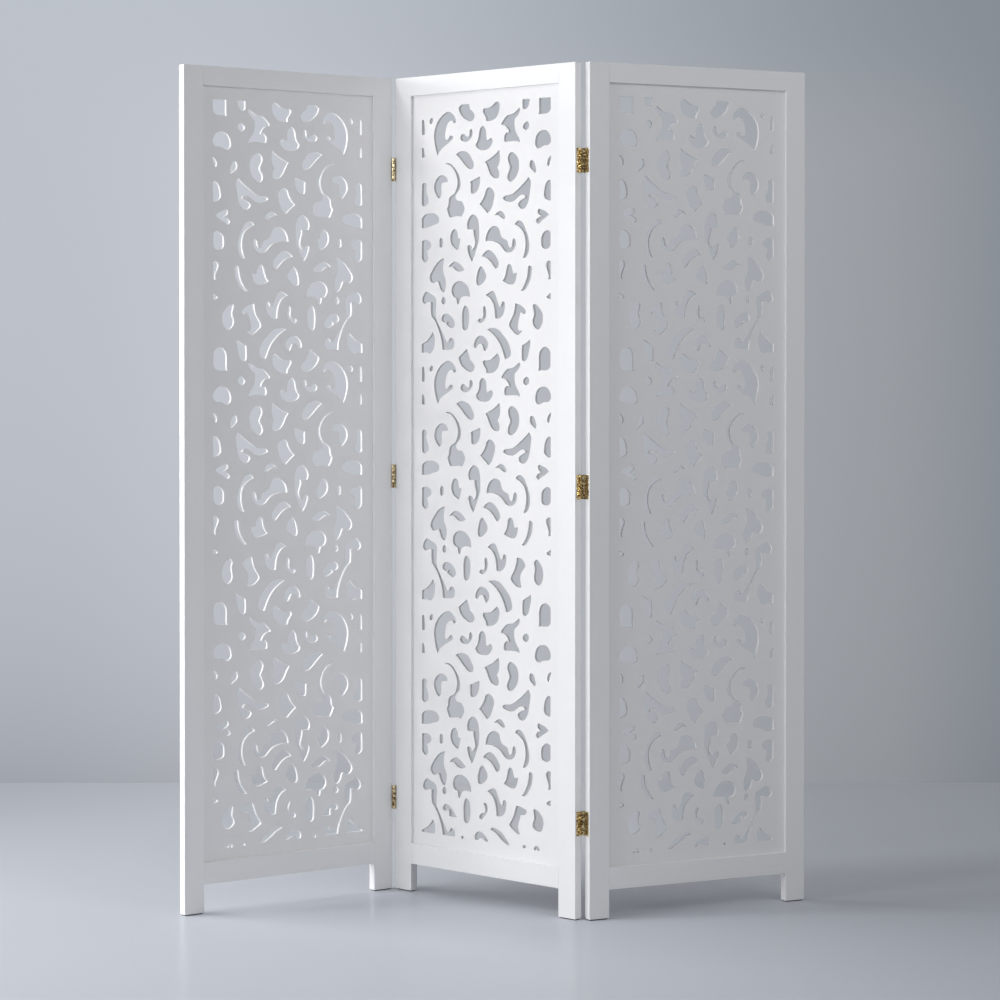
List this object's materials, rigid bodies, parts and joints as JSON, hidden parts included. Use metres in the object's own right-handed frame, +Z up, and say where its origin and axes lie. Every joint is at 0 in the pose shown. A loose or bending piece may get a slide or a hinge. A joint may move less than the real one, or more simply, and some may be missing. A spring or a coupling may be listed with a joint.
{
  "type": "folding screen",
  "caption": "Folding room screen of hinged wooden panels, each a plain frame on legs round a thin board pierced all over with scroll-shaped openings; brass butt hinges.",
  "frame": {"origin": "on the floor, in the middle of the standing screen seen from above", "axes": "+Z up; +X to the right along the row of panels; +Y away from the viewer, so -Y is the front"},
  "size_m": [1.2655, 0.3551, 1.7],
  "materials": {
    "frames": "satin white paint on wood",
    "pierced_boards": "satin white paint on fibreboard",
    "foot_pads": "dark grey felt",
    "dowels": "bare beech, out of sight",
    "hinges": "worn brass",
    "hinge_screws": "worn brass"
  },
  "bodies": {
    "centre_panel": {"centre_panel_bottom_rail": "frames", "centre_panel_dowels": "dowels", "centre_panel_left_foot_pad": "foot_pads", "centre_panel_left_stile": "frames", "centre_panel_pierced_board": "pierced_boards", "centre_panel_right_foot_pad": "foot_pads", "centre_panel_right_stile": "frames", "centre_panel_top_rail": "frames", "left_joint_lower_hinge_centre_leaf": "hinges", "left_joint_lower_hinge_centre_leaf_screws": "hinge_screws", "left_joint_lower_hinge_pin": "hinges", "left_joint_middle_hinge_centre_leaf": "hinges", "left_joint_middle_hinge_centre_leaf_screws": "hinge_screws", "left_joint_middle_hinge_pin": "hinges", "left_joint_upper_hinge_centre_leaf": "hinges", "left_joint_upper_hinge_centre_leaf_screws": "hinge_screws", "left_joint_upper_hinge_pin": "hinges", "right_joint_lower_hinge_centre_leaf": "hinges", "right_joint_lower_hinge_centre_leaf_screws": "hinge_screws", "right_joint_lower_hinge_pin": "hinges", "right_joint_middle_hinge_centre_leaf": "hinges", "right_joint_middle_hinge_centre_leaf_screws": "hinge_screws", "right_joint_middle_hinge_pin": "hinges", "right_joint_upper_hinge_centre_leaf": "hinges", "right_joint_upper_hinge_centre_leaf_screws": "hinge_screws", "right_joint_upper_hinge_pin": "hinges"},
    "left_panel": {"left_joint_lower_hinge_outer_leaf": "hinges", "left_joint_lower_hinge_outer_leaf_screws": "hinge_screws", "left_joint_middle_hinge_outer_leaf": "hinges", "left_joint_middle_hinge_outer_leaf_screws": "hinge_screws", "left_joint_upper_hinge_outer_leaf": "hinges", "left_joint_upper_hinge_outer_leaf_screws": "hinge_screws", "left_panel_bottom_rail": "frames", "left_panel_dowels": "dowels", "left_panel_left_foot_pad": "foot_pads", "left_panel_left_stile": "frames", "left_panel_pierced_board": "pierced_boards", "left_panel_right_foot_pad": "foot_pads", "left_panel_right_stile": "frames", "left_panel_top_rail": "frames"},
    "right_panel": {"right_joint_lower_hinge_outer_leaf": "hinges", "right_joint_lower_hinge_outer_leaf_screws": "hinge_screws", "right_joint_middle_hinge_outer_leaf": "hinges", "right_joint_middle_hinge_outer_leaf_screws": "hinge_screws", "right_joint_upper_hinge_outer_leaf": "hinges", "right_joint_upper_hinge_outer_leaf_screws": "hinge_screws", "right_panel_bottom_rail": "frames", "right_panel_dowels": "dowels", "right_panel_left_foot_pad": "foot_pads", "right_panel_left_stile": "frames", "right_panel_pierced_board": "pierced_boards", "right_panel_right_foot_pad": "foot_pads", "right_panel_right_stile": "frames", "right_panel_top_rail": "frames"}
  },
  "joints": [
    {"name": "left_joint", "type": "hinge", "parent": "centre_panel", "child": "left_panel", "pos_m": [-0.21528, 0.15993, 0.85], "axis": [0, 0, 1], "range_deg": [-78.4, 101.6]},
    {"name": "right_joint", "type": "hinge", "parent": "centre_panel", "child": "right_panel", "pos_m": [0.17323, -0.15758, 0.85], "axis": [0, 0, 1], "range_deg": [-68.2, 111.8]}
  ]
}
